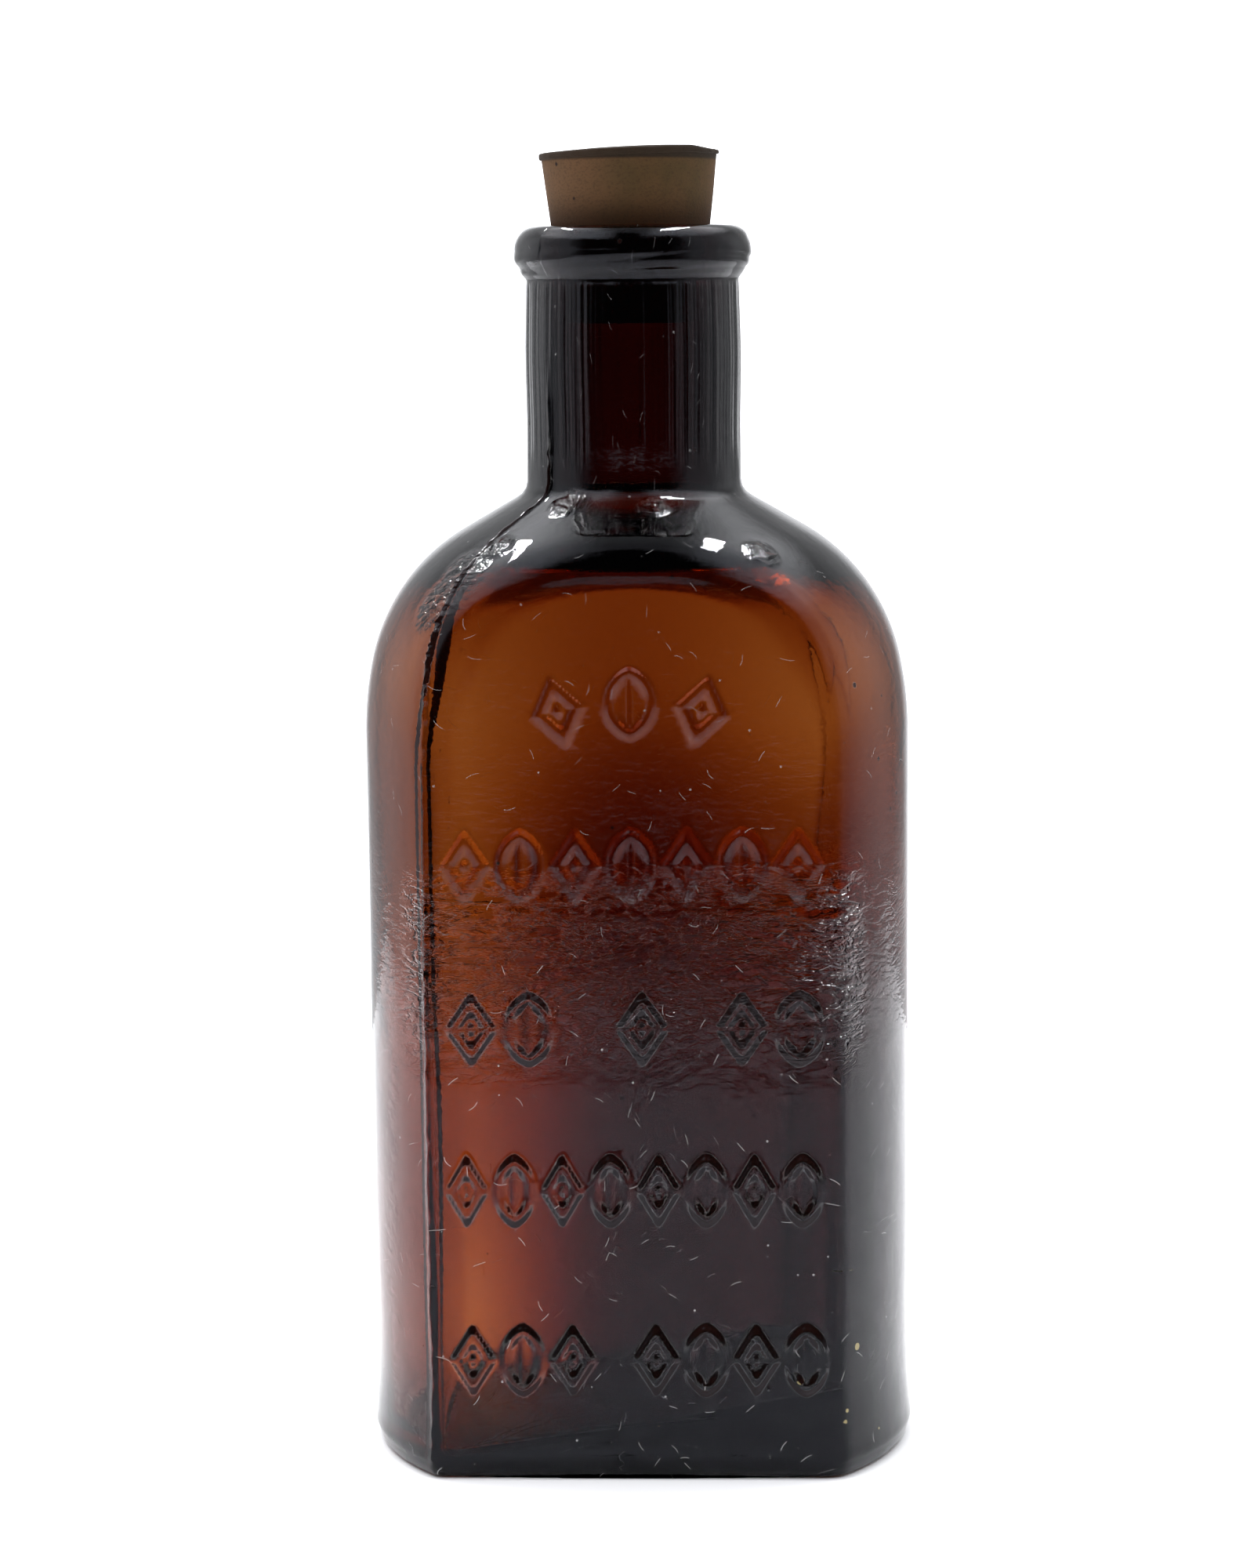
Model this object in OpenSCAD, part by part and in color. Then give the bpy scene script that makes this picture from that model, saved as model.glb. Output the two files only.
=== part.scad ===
// Stoppered medicine bottle with flat front and back panels, round sides and shoulders,
// a tall neck, a rolled lip ring and a tapered push-in stopper.
// The bottle stands on z = 0 with its axis on Z. The embossed panel faces -Y.

/* [Body] */
// Radius of the round sides at their widest, just under the shoulder
body_r = 36.1; // [34:0.05:38]
// Half the depth from the front panel to the back panel
panel_y = 24.4; // [22:0.1:26]
// Radius at the narrowest part of the waist
waist_r = 35.95; // [34:0.05:38]
// Radius at the foot
foot_r = 36.15; // [34:0.05:38]
// Height where the round sides turn into the shoulder
shoulder_z = 95.5; // [90:0.5:100]
// Height of the base-plate seam, where the heel starts to turn under
heel_z = 2.7; // [2:0.1:4]
// How far the heel turns in under the sides
heel_in = 1.5; // [1:0.1:2.5]

/* [Neck and lip] */
// Outside radius of the neck
neck_r = 14.2; // [13.5:0.1:15]
// Height where the neck rises out of the shoulder
neck_z = 128.9; // [128:0.1:132]
// Height where the lip ring sits on the neck
lip_z = 155.2; // [153:0.1:157]
// Height of the mouth
mouth_z = 162; // [161:0.1:164]
// Radius of the lip ring at its widest
lip_r = 15.75; // [15.4:0.05:17]

/* [Glass thickness] */
// Wall of the round sides and the panels
wall = 3; // [2.5:0.1:3.4]
// Thickness of the base at its middle
base_t = 5.2; // [4.5:0.1:7]
// How much thicker the shoulder is where it meets the neck
shoulder_extra = 2.6; // [1.5:0.1:3]
// Radius of the bore through the neck
bore_r = 8.8; // [8.5:0.1:8.9]
// Depth of the hollow pushed up under the base
punt_h = 1.2; // [0.8:0.1:1.8]
// Radius of the hollow pushed up under the base
punt_r = 17; // [14:0.5:18]

/* [Stopper] */
// Radius of the stopper's top edge
stopper_top_r = 11.5; // [11.4:0.05:11.8]
// Radius of the stopper's bottom end
stopper_foot_r = 8.9; // [8.7:0.05:9]
// Length of the stopper along its axis
stopper_h = 22.1; // [21:0.1:23]
// How deep the stopper is pushed into the mouth
stopper_in = 12.7; // [12:0.1:13.5]
// Gap all round between the stopper and the mouth
stopper_gap = 0.05; // [0.04:0.01:0.1]
// Height of the crown on the stopper's top
crown_h = 0.6; // [0.4:0.1:1]

/* [Embossing] */
// How far the ornament stands out of the front panel
relief = 0.5; // [0.3:0.1:0.8]
// Width of the raised lines of the ornament
stroke = 1.4; // [1.2:0.1:1.6]
// Height of each ornament
motif_h = 9.2; // [8:0.1:10]
// How far the seam round the panel's plate stands out
plate_relief = 0.25; // [0.2:0.05:0.4]

/* [Hidden] */
$fn = 96;

// Points on an arc in the half plane of a turned outline, from angle a0 to angle a1
function arc(centre, rx, ry, a0, a1, steps) =
    [for (i = [0:steps]) let (a = a0 + (a1 - a0) * i / steps)
        centre + [rx * cos(a), ry * sin(a)]];

// The edge where a wall at x turns under to meet a floor at height foot
function heel(x, foot, turn_in, up) =
    arc([x - turn_in, foot + up], turn_in, up, -90, 0, 5);

// Shoulder: a slow curve, then a tighter one, then a straight slope up to the neck.
slow_a = 12;
slope_a = 60;
slow_r = 48;
neck_fillet = 2.4;
slow_c = [body_r - slow_r, shoulder_z];
slow_end = slow_c + slow_r * [cos(slow_a), sin(slow_a)];
// The slope ends where the fillet under the neck begins.
fillet_c = [neck_r + neck_fillet, neck_z];
fillet_end = fillet_c - neck_fillet * [cos(slope_a), sin(slope_a)];
slope_dir = [-sin(slope_a), cos(slope_a)];
// The tight curve's radius brings it onto that slope without a kink.
across = [cos(slope_a), sin(slope_a)];
tight_r = ((fillet_end - slow_end) * across)
    / (1 - [cos(slow_a), sin(slow_a)] * across);
tight_c = slow_end - tight_r * [cos(slow_a), sin(slow_a)];

// Inside of the mouth: it follows the stopper's taper down to the plain bore.
stopper_z = mouth_z - stopper_in;
taper = (stopper_top_r - stopper_foot_r) / stopper_h;
mouth_r = stopper_foot_r + taper * stopper_in + stopper_gap;
bore_z = mouth_z - (mouth_r - bore_r) / taper;
mouth_edge = 0.8;
clear = 1;

// Inside of the shoulder: the slope, one wall lower, runs into the bore over a wide curve.
inner_heel = 5;
inner_fillet = 6;
inner_level = fillet_end * across - wall - shoulder_extra;
inner_c = [
    bore_r + inner_fillet,
    (inner_level + inner_fillet - (bore_r + inner_fillet) * across.x) / across.y
];

// Rows of ornament: height of the row, width of one motif, distance from one motif to the
// next, and for each group of motifs the place of its first one and how many it has.
row_list = [
    [80.8, 6.2, 7.1, [[-21.3, 7]]],
    [59.6, 6.4, 7.4, [[-20.8, 2], [1.2, 1], [14.0, 2]]],
    [38.4, 5.4, 6.2, [[-21.7, 8]]],
    [16.0, 5.8, 6.5, [[-21.2, 3], [2.6, 4]]]
];
// The top row has three motifs and curves with the arch of the panel.
top_row_z = 101.6;
top_row_r = 42;
top_row_step = 12.5;
top_row_w = 6.6;

// Seam round the plate: a square-shouldered arch, drawn from a little above its springing.
arch_w = 25;
arch_h = 19.9;
arch_z = 98;
arch_power = 3;
arch_start = 5;
seam_w = 0.5;
// How deep a raised shape is sunk into the panel that it stands on
embed = 0.4;

// Heights where the waist starts and ends, and where the side is at its widest again
waist_z0 = 22;
waist_z1 = 52;
chest_z = 78;

// The shoulder's tighter curve, inset by t where it starts and by t + extra where it ends
function tight_curve(t, extra) = [for (i = [0:9])
    let (part = i / 9, a = slow_a + (slope_a - slow_a) * part)
        tight_c + (tight_r - t - extra * part * part) * [cos(a), sin(a)]];

// Turned part of an outline from above its heel to the foot of the neck
function side(t, extra) = concat(
    [[waist_r - t, waist_z0], [waist_r - t, waist_z1], [body_r - t, chest_z]],
    arc(slow_c, slow_r - t, slow_r - t, 0, slow_a, 3),
    tight_curve(t, extra)
);

// Outline of the turned body, neck included
module outer_outline() {
    polygon(concat(
        [[0, 0]],
        heel(foot_r, 0, heel_in, heel_z),
        side(0, 0),
        arc(fillet_c, neck_fillet, neck_fillet, 180 + slope_a, 180, 5),
        [[neck_r, lip_z], [0, lip_z]]
    ));
}

// Outline of the space inside, from the base to just past the mouth
module inner_outline() {
    polygon(concat(
        [[0, base_t]],
        heel(foot_r - wall, base_t, inner_heel, inner_heel),
        side(wall, shoulder_extra),
        arc(inner_c, inner_fillet, inner_fillet, 180 + slope_a, 180, 6),
        [
            [bore_r, bore_z],
            [mouth_r - mouth_edge * taper, mouth_z - mouth_edge],
            [mouth_r + mouth_edge, mouth_z],
            [mouth_r + mouth_edge, mouth_z + clear],
            [0, mouth_z + clear]
        ]
    ));
}

// Block between two flat faces, with its lower edges turned under
module panel_block(y, foot, turn_in, up) {
    half = concat(heel(y, foot, turn_in, up), [[y, mouth_z + 2 * clear]]);
    rotate([90, 0, 90])
        linear_extrude(4 * body_r, center = true)
            polygon(concat(half, [for (i = [len(half) - 1:-1:0]) [-half[i].x, half[i].y]]));
}

module lozenge(w, h) {
    polygon([[-w / 2, 0], [0, -h / 2], [w / 2, 0], [0, h / 2]]);
}

// Pointed oval, where two equal circles overlap
module leaf(w, h) {
    r = (w * w + h * h) / (4 * w);
    intersection() {
        translate([r - w / 2, 0]) circle(r);
        translate([w / 2 - r, 0]) circle(r);
    }
}

// Lozenge frame with a small lozenge inside
module lozenge_motif(w) {
    inner_w = w - 2 * stroke;
    dot_w = 0.8 * stroke;
    difference() {
        lozenge(w, motif_h);
        lozenge(inner_w, motif_h * inner_w / w);
    }
    lozenge(dot_w, 2 * dot_w);
}

// Leaf frame with a rib down its middle; the frame is thinner at its sides than at its tips
module leaf_motif(w) {
    side_w = 0.85 * stroke;
    tip_h = 1.3 * stroke;
    rib_w = 0.5 * stroke;
    difference() {
        leaf(w, motif_h);
        leaf(w - 2 * side_w, motif_h - 2 * tip_h);
    }
    square([rib_w, motif_h - 2 * stroke], center = true);
}

module motif(i, w) {
    if (i % 2 == 0) lozenge_motif(w);
    else leaf_motif(w);
}

module ornament() {
    for (i = [-1:1])
        translate([0, top_row_z - top_row_r])
            rotate(-i * top_row_step)
                translate([0, top_row_r])
                    motif(i + 1, top_row_w);
    for (row = row_list, group = row[3], i = [0:group[1] - 1])
        translate([group[0] + i * row[2], row[0]])
            motif(i, row[1]);
}

module arch(inset) {
    w = arch_w - inset;
    h = arch_h - inset;
    polygon([for (a = [0:5:180])
        [w * sign(cos(a)) * pow(abs(cos(a)), 2 / arch_power),
         arch_z + h * pow(sin(a), 2 / arch_power)]]);
}

module plate_seam() {
    difference() {
        arch(0);
        arch(seam_w);
        translate([-arch_w, arch_z - clear]) square([2 * arch_w, clear + arch_start]);
    }
}

// Stands a flat drawing up on the front panel
module on_front(height) {
    translate([0, embed - panel_y, 0])
        rotate([90, 0, 0])
            linear_extrude(height + embed)
                children();
}

// Space inside the bottle, from the base up through the mouth
module inside() {
    intersection() {
        rotate_extrude() inner_outline();
        panel_block(panel_y - wall, base_t, inner_heel, inner_heel);
    }
}

// Shallow hollow under the base
module punt() {
    r = (punt_r * punt_r + punt_h * punt_h) / (2 * punt_h);
    translate([0, 0, punt_h - r]) sphere(r);
}

// Body, shoulder and neck, blown in one piece
module bottle_glass() {
    color([0.36, 0.14, 0.05, 0.75])
        difference() {
            union() {
                intersection() {
                    rotate_extrude() outer_outline();
                    panel_block(panel_y, 0, heel_in, heel_z);
                }
                on_front(relief) ornament();
                on_front(plate_relief) plate_seam();
            }
            inside();
            punt();
        }
}

// Rolled ring laid round the mouth: its outside is most of an upright oval
module lip_ring() {
    roll_in = 2.6;
    roll_up = 3.4;
    roll_drop = 0.2;
    roll_c = [lip_r - roll_in, mouth_z - roll_drop - roll_up];
    color([0.08, 0.05, 0.05])
        difference() {
            rotate_extrude()
                polygon(concat(
                    [[0, lip_z], [neck_r, lip_z]],
                    arc(roll_c, roll_in, roll_up, -55, 75, 10),
                    [[mouth_r + 2 * mouth_edge, mouth_z], [0, mouth_z]]
                ));
            inside();
        }
}

// Tapered push-in stopper with a crowned top and a thin rim
module stopper() {
    rim_h = 0.9;
    rim_out = 0.2;
    rim_edge = 0.1;
    foot_edge = 0.5;
    top_z = stopper_z + stopper_h;
    color([0.42, 0.33, 0.22])
        rotate_extrude()
            polygon([
                [0, stopper_z],
                [stopper_foot_r - foot_edge, stopper_z],
                [stopper_foot_r + foot_edge * taper, stopper_z + foot_edge],
                [stopper_top_r - rim_h * taper, top_z - rim_h],
                [stopper_top_r + rim_out, top_z - rim_h],
                [stopper_top_r + rim_out, top_z - rim_edge],
                [stopper_top_r, top_z],
                [stopper_top_r / 2, top_z + crown_h * 3 / 4],
                [0, top_z + crown_h]
            ]);
}

bottle_glass();
lip_ring();
stopper();
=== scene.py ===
"""Looks of the stoppered amber medicine bottle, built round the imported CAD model.

Shapes are worked out in millimetres with the bottle's axis on Z and its embossed panel facing
-Y, and are scaled to metres when a mesh is made.
"""

import math

import bpy
import numpy as np
from mathutils import Matrix, Vector, noise


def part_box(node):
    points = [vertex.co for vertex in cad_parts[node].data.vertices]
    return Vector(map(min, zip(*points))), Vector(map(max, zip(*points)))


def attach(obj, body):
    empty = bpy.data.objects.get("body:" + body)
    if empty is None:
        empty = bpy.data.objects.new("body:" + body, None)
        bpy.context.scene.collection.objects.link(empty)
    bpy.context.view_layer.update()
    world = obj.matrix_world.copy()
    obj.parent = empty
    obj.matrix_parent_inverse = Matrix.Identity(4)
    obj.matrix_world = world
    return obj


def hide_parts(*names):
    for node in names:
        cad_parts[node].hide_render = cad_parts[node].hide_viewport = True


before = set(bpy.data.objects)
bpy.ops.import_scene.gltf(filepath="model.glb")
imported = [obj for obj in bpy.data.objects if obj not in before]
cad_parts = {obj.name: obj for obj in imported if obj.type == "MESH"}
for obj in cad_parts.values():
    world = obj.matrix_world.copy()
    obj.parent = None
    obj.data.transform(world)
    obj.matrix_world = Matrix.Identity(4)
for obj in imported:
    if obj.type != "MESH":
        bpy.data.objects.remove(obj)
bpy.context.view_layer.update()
MM = 0.001

# ------------------------------------------------- sizes in mm, the outer ones from the frame
glass_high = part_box("bottle_glass")[1] / MM
lip_low, lip_high = (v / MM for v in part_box("lip_ring"))
stop_low, stop_high = (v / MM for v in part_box("stopper"))

FOOT_R = glass_high.x           # round sides at the foot
PANEL_Y = glass_high.y          # half depth between the flat panels
LIP_Z = lip_low.z               # where the lip ring starts
MOUTH_Z = lip_high.z            # top of the lip ring
LIP_R = lip_high.x
STOP_Z0 = stop_low.z            # lower end of the stopper
STOP_Z1 = stop_high.z           # its top
WAIST_R = FOOT_R - 0.2
BODY_R = FOOT_R - 0.05
NECK_R = LIP_R - 1.55
WALL = 3.0                      # even thickness of the CAD glass, which the uneven one is worked from
BASE_T = 5.2                    # thickness of the base
BORE_R = 8.8                    # inside of the neck
SHOULDER_EXTRA = 2.6            # how much thicker the glass is where the shoulder meets the neck
TAPER = 2.6 / 22.1              # the stopper and the mouth narrow by this much per mm
STOP_R0 = 8.9                   # lower end of the stopper
STOP_DEPTH = 12.7               # how far the stopper reaches into the mouth
STOP_GAP = 0.05                 # all round it
MOUTH_R = STOP_R0 + TAPER * STOP_DEPTH + STOP_GAP
BORE_Z = MOUTH_Z - (MOUTH_R - BORE_R) / TAPER
HEEL_IN, HEEL_UP = 1.5, 2.7     # the turned-in heel: how far in, and how far up
INNER_HEEL = 3.0                # rounding of the corner where the inside walls meet the floor
PUNT_R, PUNT_H = 17.0, 1.2      # the hollow under the base
SHOULDER_Z, NECK_Z = 95.5, 128.9    # where the shoulder starts and where the neck does

RELIEF = 0.5                    # height of the raised ornament
STROKE = 1.4                    # width of its lines
MOTIF_H = 9.2                   # height of one motif
# Angle, in degrees, from the middle of a panel to its edge.
CORNER = math.degrees(math.atan2(math.sqrt(BODY_R ** 2 - PANEL_Y ** 2), PANEL_Y))


# ---------------------------------------------------------------- small helpers
def smoothstep(low, high, x):
    t = np.clip((x - low) / (high - low), 0, 1)
    return t * t * (3 - 2 * t)


def smooth_min(a, b, k):
    h = np.clip(k - np.abs(a - b), 0, None) / k
    return np.minimum(a, b) - h * h * k / 4


def arc(centre, rx, ry, a0, a1, steps):
    """Points (radius, height) on an arc from angle a0 to a1, in degrees."""
    a = np.radians(np.linspace(a0, a1, steps + 1))
    return np.stack([centre[0] + rx * np.cos(a), centre[1] + ry * np.sin(a)], 1)


def resample(points, step):
    """Points about step apart along a polyline, both ends kept."""
    points = np.asarray(points, float)
    run = np.concatenate([[0], np.cumsum(np.linalg.norm(np.diff(points, axis=0), axis=1))])
    count = max(2, round(run[-1] / step) + 1)
    at = np.linspace(0, run[-1], count)
    return np.stack([np.interp(at, run, points[:, c]) for c in range(points.shape[1])], 1)


def curve_through(points, steps=12):
    """A smooth path through the points (centripetal Catmull-Rom)."""
    p = np.asarray(points, float)
    p = np.vstack([2 * p[0] - p[1], p, 2 * p[-1] - p[-2]])
    out = []
    for a, b, c, d in zip(p, p[1:], p[2:], p[3:]):
        t1 = np.linalg.norm(b - a) ** 0.5
        t2 = t1 + np.linalg.norm(c - b) ** 0.5
        t3 = t2 + np.linalg.norm(d - c) ** 0.5
        t = np.linspace(t1, t2, steps, endpoint=False)[:, None]
        ab = a + (b - a) * t / t1
        bc = b + (c - b) * (t - t1) / (t2 - t1)
        cd = c + (d - c) * (t - t2) / (t3 - t2)
        abc = ab + (bc - ab) * t / t2
        bcd = bc + (cd - bc) * (t - t1) / (t3 - t1)
        out.append(abc + (bcd - abc) * (t - t1) / (t2 - t1))
    return np.vstack(out + [p[-2:-1]])


def wander(x, y, z, size, seed):
    """Smooth noise from about -1 to 1, with features of the given size, at many points."""
    x, y, z = np.broadcast_arrays(x, y, z)
    out = np.empty(x.size)
    for i, p in enumerate(zip(x.ravel() / size, y.ravel() / size, z.ravel() / size)):
        out[i] = noise.noise((p[0] + seed * 17.3, p[1] - seed * 5.1, p[2] + seed * 3.7))
    return out.reshape(x.shape) * 1.6


def ripple(angle, height, waves, seed):
    """Smooth unevenness round and up the bottle: a few seeded sine waves, about -1 to 1."""
    draw = np.random.default_rng(seed)
    out = np.zeros(np.broadcast(angle, height).shape)
    for _ in range(waves):
        turns = draw.integers(1, 5)
        rise = draw.uniform(-0.09, 0.09)
        out += np.sin(turns * angle + rise * height + draw.uniform(0, 2 * math.pi))
    return out / math.sqrt(waves)


# ---------------------------------------------------------------- raised ornament on the panel
def lozenge_gap(x, z, w, h):
    """Distance outside (+) or inside (-) a lozenge."""
    a, b = w / 2, h / 2
    return (np.abs(x) / a + np.abs(z) / b - 1) * a * b / math.hypot(a, b)


def leaf_gap(x, z, w, h):
    """Distance outside (+) or inside (-) a pointed oval."""
    r = (w * w + h * h) / (4 * w)
    return np.hypot(np.abs(x) + r - w / 2, z) - r


def frame_gap(gap, width):
    """Distance outside a line of that width drawn just inside an outline."""
    return np.abs(gap + width / 2) - width / 2


def motif_gap(i, x, z, w):
    """Distance outside the i-th motif of a row: lozenges and leaves take turns."""
    if i % 2 == 0:
        ring = frame_gap(lozenge_gap(x, z, w, MOTIF_H), STROKE)
        return np.minimum(ring, lozenge_gap(x, z, STROKE * 0.8, STROKE * 1.6))
    ring = frame_gap(leaf_gap(x, z, w, MOTIF_H), STROKE * 0.85)
    rib = np.maximum(np.abs(x) - STROKE * 0.25, np.abs(z) - MOTIF_H / 2 + STROKE)
    return np.minimum(ring, rib)


# Rows as in the CAD: height, motif width, step, and for each group its first place and count.
ROWS = [
    (80.8, 6.2, 7.1, [(-21.3, 7)]),
    (59.6, 6.4, 7.4, [(-20.8, 2), (1.2, 1), (14.0, 2)]),
    (38.4, 5.4, 6.2, [(-21.7, 8)]),
    (16.0, 5.8, 6.5, [(-21.2, 3), (2.6, 4)]),
]
# The top row stands on an arc: height, radius, degrees from one motif to the next, motif width.
TOP_ROW_Z, TOP_ROW_R, TOP_ROW_STEP, TOP_ROW_W = 101.6, 42.0, 12.5, 6.6
# The plate seam over the panel: half width, rise, height where it starts, and roundness.
ARCH_W, ARCH_H, ARCH_Z, ARCH_POWER = 25.0, 19.9, 98.0, 3


def relief(x, z):
    """How far the front panel's raised ornament and plate seam stand out at (x, z)."""
    gap = np.full(np.broadcast(x, z).shape, 9.0)
    for i in (-1, 0, 1):
        a = math.radians(i * TOP_ROW_STEP)
        dx, dz = x, z - TOP_ROW_Z + TOP_ROW_R
        u = dx * math.cos(a) - dz * math.sin(a)
        v = dx * math.sin(a) + dz * math.cos(a) - TOP_ROW_R
        gap = np.minimum(gap, motif_gap(i + 1, u, v, TOP_ROW_W))
    for height, w, step, groups in ROWS:
        for first, count in groups:
            for i in range(count):
                gap = np.minimum(gap, motif_gap(i, x - first - i * step, z - height, w))
    ornament = RELIEF * smoothstep(0.32, -0.42, gap)
    up = np.clip(z - ARCH_Z, 0, None)
    level = (np.abs(x / ARCH_W) ** ARCH_POWER + (up / ARCH_H) ** ARCH_POWER) ** (1 / ARCH_POWER)
    seam_gap = (level - 1) * np.minimum(ARCH_W, ARCH_H)
    seam = 0.1 * np.exp(-(seam_gap / 0.7) ** 2) * smoothstep(0, 9, z - ARCH_Z)
    return ornament + seam


# ---------------------------------------------------------------- outline of the glass
def heel(edge, foot, turn_in, up, steps):
    """Quarter round from the foot out to the edge."""
    return arc((edge - turn_in, foot + up), turn_in, up, -90, 0, steps)


def shoulder(inside):
    """The shoulder's two arcs and the slope after them. The outside is as in the CAD, and the
    inside has less of the extra glass."""
    slow_a, slope_a, slow_r, fillet = 12, 60, 48, 2.4
    slow_c = np.array([BODY_R - slow_r, SHOULDER_Z])
    unit = lambda a: np.array([math.cos(math.radians(a)), math.sin(math.radians(a))])
    slow_end = slow_c + slow_r * unit(slow_a)
    fillet_c = np.array([NECK_R + fillet, NECK_Z])
    fillet_end = fillet_c - fillet * unit(slope_a)
    across = unit(slope_a)
    tight_r = (fillet_end - slow_end) @ across / (1 - unit(slow_a) @ across)
    tight_c = slow_end - tight_r * unit(slow_a)
    if not inside:
        return np.vstack([
            arc(slow_c, slow_r, slow_r, 0, slow_a, 12),
            arc(tight_c, tight_r, tight_r, slow_a, slope_a, 40)[1:],
            arc(fillet_c, fillet, fillet, 180 + slope_a, 180, 14),
        ])
    turn = np.radians(np.linspace(slow_a, slope_a, 41))[1:, None]
    inset = WALL + SHOULDER_EXTRA * 0.6 * np.linspace(0, 1, 41)[1:, None] ** 4
    arcs = np.vstack([
        arc(slow_c, slow_r - WALL, slow_r - WALL, 0, slow_a, 12),
        tight_c + (tight_r - inset) * np.hstack([np.cos(turn), np.sin(turn)]),
    ])
    fillet = 6.0
    level = fillet_end @ across - WALL - SHOULDER_EXTRA
    x = BORE_R + fillet
    centre = (x, (level + fillet - x * across[0]) / across[1])
    return np.vstack([arcs, arc(centre, fillet, fillet, 180 + slope_a, 180, 14)])


def glass_stations():
    """Rows of the glass, from the middle of the underside, up the outside, over the lip and
    down the inside: radius, height, half depth of the flats, and 1 for the inside."""
    rows = []

    def add(points, inside, flat=None):
        for r, z in points:
            rows.append((r, z, PANEL_Y - (WALL if inside else 0) if flat is None else flat(r), inside))

    punt = [(r, PUNT_H * (1 - (r / PUNT_R) ** 2)) for r in np.linspace(0, PUNT_R, 9)]
    foot = FOOT_R - HEEL_IN
    widen = lambda r: PANEL_Y - HEEL_IN + (foot - r) * 0.1
    add(punt, 0, lambda r: PANEL_Y)
    add([(r, 0) for r in np.linspace(PUNT_R, foot, 9)[1:-1]], 0, widen)
    turned = heel(FOOT_R, 0, HEEL_IN, HEEL_UP, 8)
    add(turned, 0, lambda r: PANEL_Y - (FOOT_R - r))
    side = curve_through([(FOOT_R + 0.05, HEEL_UP + 0.5), (FOOT_R - 0.3, 12), (WAIST_R, 28),
                          (WAIST_R, 52), (BODY_R - 0.1, 72), (BODY_R, SHOULDER_Z)])
    add(resample(side, 1.6), 0)
    add(resample(shoulder(False), 0.95)[1:], 0)
    neck = [(NECK_R, NECK_Z + 0.6), (NECK_R - 0.05, 136), (NECK_R + 0.1, 145.5),
            (NECK_R - 0.05, 152.5), (NECK_R - 0.1, LIP_Z - 0.6)]
    add(resample(curve_through(neck), 1.1)[1:], 0)
    lip = [(NECK_R - 0.1, LIP_Z - 0.6), (NECK_R - 0.12, LIP_Z - 0.1), (NECK_R + 0.28, LIP_Z + 0.45),
           (NECK_R + 0.55, LIP_Z + 0.9), (LIP_R - 0.42, LIP_Z + 1.75), (LIP_R, LIP_Z + 3.2),
           (LIP_R - 0.5, LIP_Z + 5.4), (LIP_R - 1.3, MOUTH_Z - 0.45), (LIP_R - 2.4, MOUTH_Z - 0.02),
           (LIP_R - 3.6, MOUTH_Z - 0.1), (MOUTH_R + 0.35, MOUTH_Z - 0.5),
           (MOUTH_R - TAPER * 1.5, MOUTH_Z - 1.5)]
    add(resample(curve_through(lip), 0.34)[1:], 0)
    bore = [(MOUTH_R - TAPER * 1.5, MOUTH_Z - 1.5), (BORE_R + 0.1, BORE_Z + 0.6), (BORE_R, BORE_Z - 1),
            (BORE_R, NECK_Z + 5)]
    add(resample(curve_through(bore), 1.3)[1:], 1)
    inner = shoulder(True)[::-1]
    add(resample(inner, 1.5), 1)
    down = curve_through([(BODY_R - WALL, SHOULDER_Z - 2), (BODY_R - WALL, 75), (WAIST_R - WALL, 50),
                          (WAIST_R - WALL, 28), (WAIST_R - WALL, BASE_T + 5.2)])
    add(resample(down, 3.0), 1)
    turned = heel(WAIST_R - WALL, BASE_T, INNER_HEEL, INNER_HEEL, 7)[::-1]
    add(turned[1:], 1, lambda r: PANEL_Y - WALL - (WAIST_R - WALL - r))
    last = turned[-1][0]
    add([(r, BASE_T + 0.7 * (1 - r / last) ** 0.8) for r in np.linspace(last, 0, 10)[1:]], 1,
        lambda r: PANEL_Y - WALL - INNER_HEEL + (last - r) * 0.1)
    return np.array(rows)


def glass_columns():
    """Angles of the columns, counted from -Y towards +X, closer together at the corners."""
    corner = math.radians(CORNER)
    near = [0, 0.3, 0.7, 1.3, 2.3]
    half = PANEL_Y * math.tan(corner)

    def spread(length, step):
        middle = np.linspace(near[-1], length - near[-1], max(2, round((length - 2 * near[-1]) / step)))
        return np.concatenate([near[:-1], middle, length - np.array(near[-2:0:-1])])

    across = spread(2 * half, 1.6) - half
    front = np.arctan(across / PANEL_Y)
    round_side = corner + spread(BODY_R * (math.pi - 2 * corner), 2.0) / BODY_R
    back = math.pi + np.arctan((spread(2 * half, 2.2) - half) / PANEL_Y)
    other = round_side + math.pi
    return np.concatenate([front, round_side, back, other])


SEAM = -math.radians(CORNER)    # the mould's parting line, at the left front corner
# Marks of the lip tool: height, how far each climbs round the lip, depth and half width.
TOOL_MARKS = [(157.4, 0.5, 0.26, 0.4), (159.2, -0.35, 0.22, 0.6), (156.2, 0.05, 0.14, 0.2),
              (160.6, 0.3, 0.2, 0.45)]


def panel_glass(x, z):
    """Thickness of a panel: thin along the left edge, heavy at the middle and the lower right."""
    across = np.clip((x + 24) / 48, 0, 1)
    edge = 1.95 - 0.22 * smoothstep(72, 95, z) + 0.4 * smoothstep(66, 52, z) - 0.75 * smoothstep(45, 18, z)
    belly = 0.7 + 0.7 * smoothstep(104, 76, z) - 0.5 * smoothstep(72, 52, z)
    slump = 4.0 * smoothstep(99, 18, z) * smoothstep(-0.1, 0.66, across)
    return edge + belly * np.sin(math.pi * across) + slump


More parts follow.
